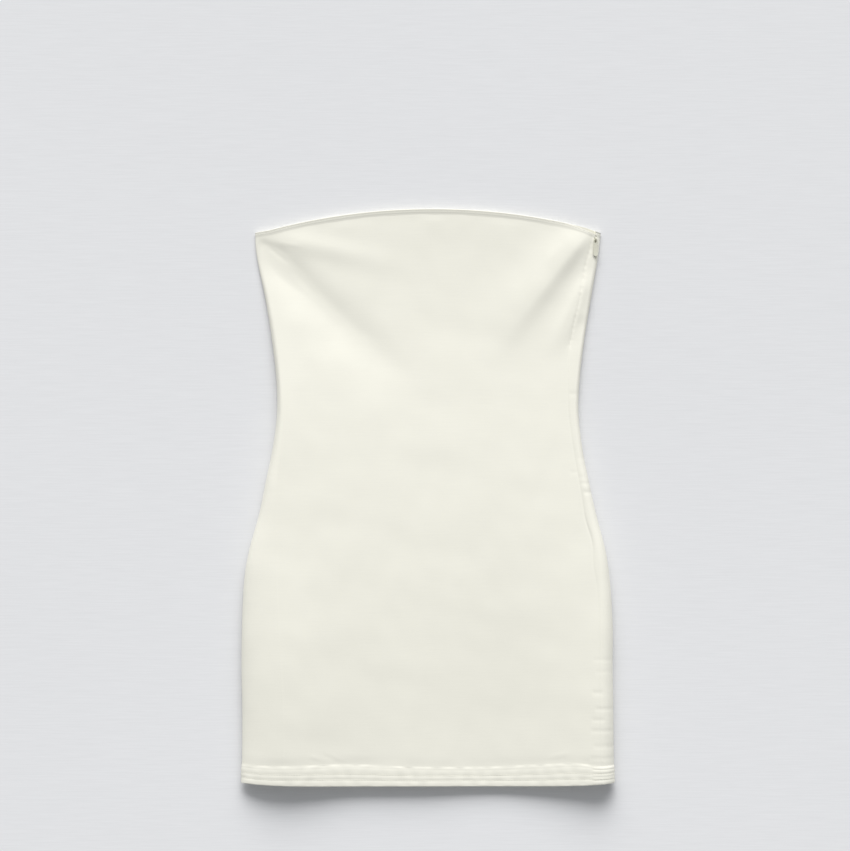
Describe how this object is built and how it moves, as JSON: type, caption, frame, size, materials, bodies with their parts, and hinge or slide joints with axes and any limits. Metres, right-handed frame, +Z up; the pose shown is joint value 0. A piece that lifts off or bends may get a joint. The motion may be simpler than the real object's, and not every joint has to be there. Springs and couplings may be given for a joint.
{
  "type": "strapless dress",
  "caption": "Short strapless stretch dress with a concealed side zip, a bound curved top edge and a stitched hem band, laid flat on its back.",
  "frame": {"origin": "middle of the dress seen from above, on the surface that it lies on", "axes": "+Y along the dress to the top edge, +X across to the side with the zip, +Z up out of the front panel"},
  "size_m": [0.4112, 0.6345, 0.0229],
  "materials": {
    "jersey": "matt, very slight sheen, fine knit, off-white",
    "binding": "matt, the same jersey folded and edge stitched",
    "zip_tape": "matt woven tape with a nylon coil",
    "zip_metal": "satin enamel dyed to match the cloth"
  },
  "bodies": {
    "dress": {"front_panel": "jersey", "back_panel": "jersey", "top_binding_front": "binding", "top_binding_back": "binding", "hem_band_front": "jersey", "hem_band_back": "jersey", "zip_chain": "zip_tape", "zip_slider": "zip_metal"},
    "pull": {"zip_pull": "zip_metal"}
  },
  "joints": [
    {"name": "pull_swing", "type": "hinge", "parent": "dress", "child": "pull", "pos_m": [0.18429, 0.28431, 0.0085], "axis": [-0.9511, 0, 0.309], "range_deg": [0, 165]}
  ]
}
